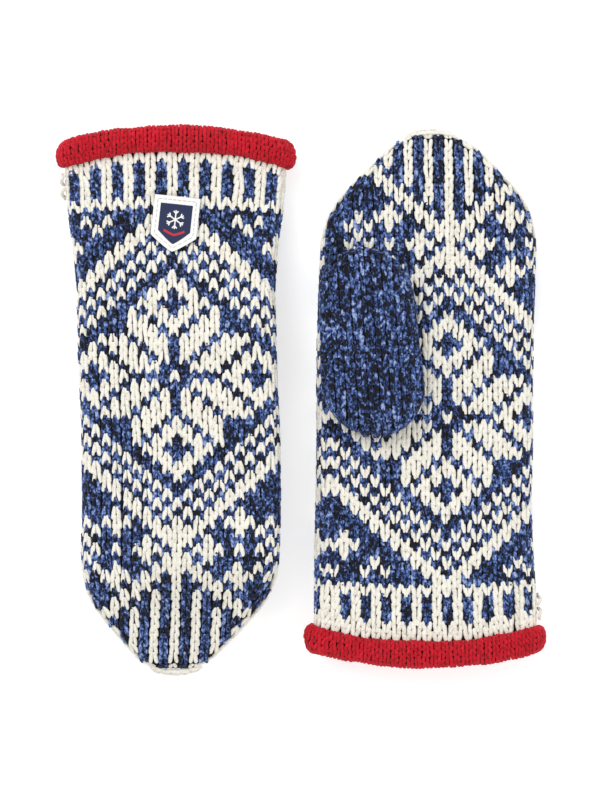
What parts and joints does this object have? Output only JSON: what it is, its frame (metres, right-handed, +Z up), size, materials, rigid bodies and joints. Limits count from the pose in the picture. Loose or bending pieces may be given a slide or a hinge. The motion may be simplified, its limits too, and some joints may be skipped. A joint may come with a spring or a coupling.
{
  "type": "pair of mittens",
  "caption": "Hand-knitted patterned wool mittens with rolled cuffs, knitted thumbs that swing sideways, fleece lining and a sewn label on the back; they lie flat side by side.",
  "frame": {"origin": "centre of the pair's bounding box, on the surface it lies on", "axes": "+X across the pair from the right-hand mitten to the left-hand one, +Y along the mittens towards the left-hand mitten's tip, +Z up from the surface"},
  "size_m": [0.2474, 0.273, 0.0357],
  "materials": {
    "patterned_wool": "matt stranded wool knit, cream and heathered blue",
    "blue_wool": "matt wool knit, heathered blue",
    "cream_wool": "matt wool yarn",
    "red_wool": "matt wool knit, rolled edge",
    "fleece": "brushed fleece",
    "label_white": "woven satin tape",
    "label_navy": "woven label",
    "label_thread": "sewing thread"
  },
  "bodies": {
    "left_hand": {"left_hand_back": "patterned_wool", "left_hand_palm": "patterned_wool", "left_hand_tip": "patterned_wool", "left_lining_back": "fleece", "left_lining_palm": "fleece", "left_cuff_roll": "red_wool", "left_label_patch": "label_white", "left_label_shield": "label_navy", "left_label_stitches": "label_thread", "left_yarn_ends": "cream_wool"},
    "left_thumb": {"left_thumb_knit": "blue_wool", "left_thumb_tip": "blue_wool", "left_thumb_lining": "fleece"},
    "right_hand": {"right_hand_back": "patterned_wool", "right_hand_palm": "patterned_wool", "right_hand_tip": "patterned_wool", "right_lining_back": "fleece", "right_lining_palm": "fleece", "right_cuff_roll": "red_wool", "right_label_patch": "label_white", "right_label_shield": "label_navy", "right_label_stitches": "label_thread", "right_yarn_ends": "cream_wool"},
    "right_thumb": {"right_thumb_knit": "blue_wool", "right_thumb_tip": "blue_wool", "right_thumb_lining": "fleece"}
  },
  "joints": [
    {"name": "left_thumb_swing", "type": "hinge", "parent": "left_hand", "child": "left_thumb", "pos_m": [0.03625, 0.0083, 0.028], "axis": [0, 0, 1], "range_deg": [0, 30]},
    {"name": "pair_slide", "type": "slide", "parent": "left_hand", "child": "right_hand", "axis": [-1, 0, 0], "range_m": [0, 0.15]},
    {"name": "right_thumb_swing", "type": "hinge", "parent": "right_hand", "child": "right_thumb", "pos_m": [-0.04225, -0.0049, 0.00625], "axis": [0, 0, 1], "range_deg": [0, 30]}
  ]
}
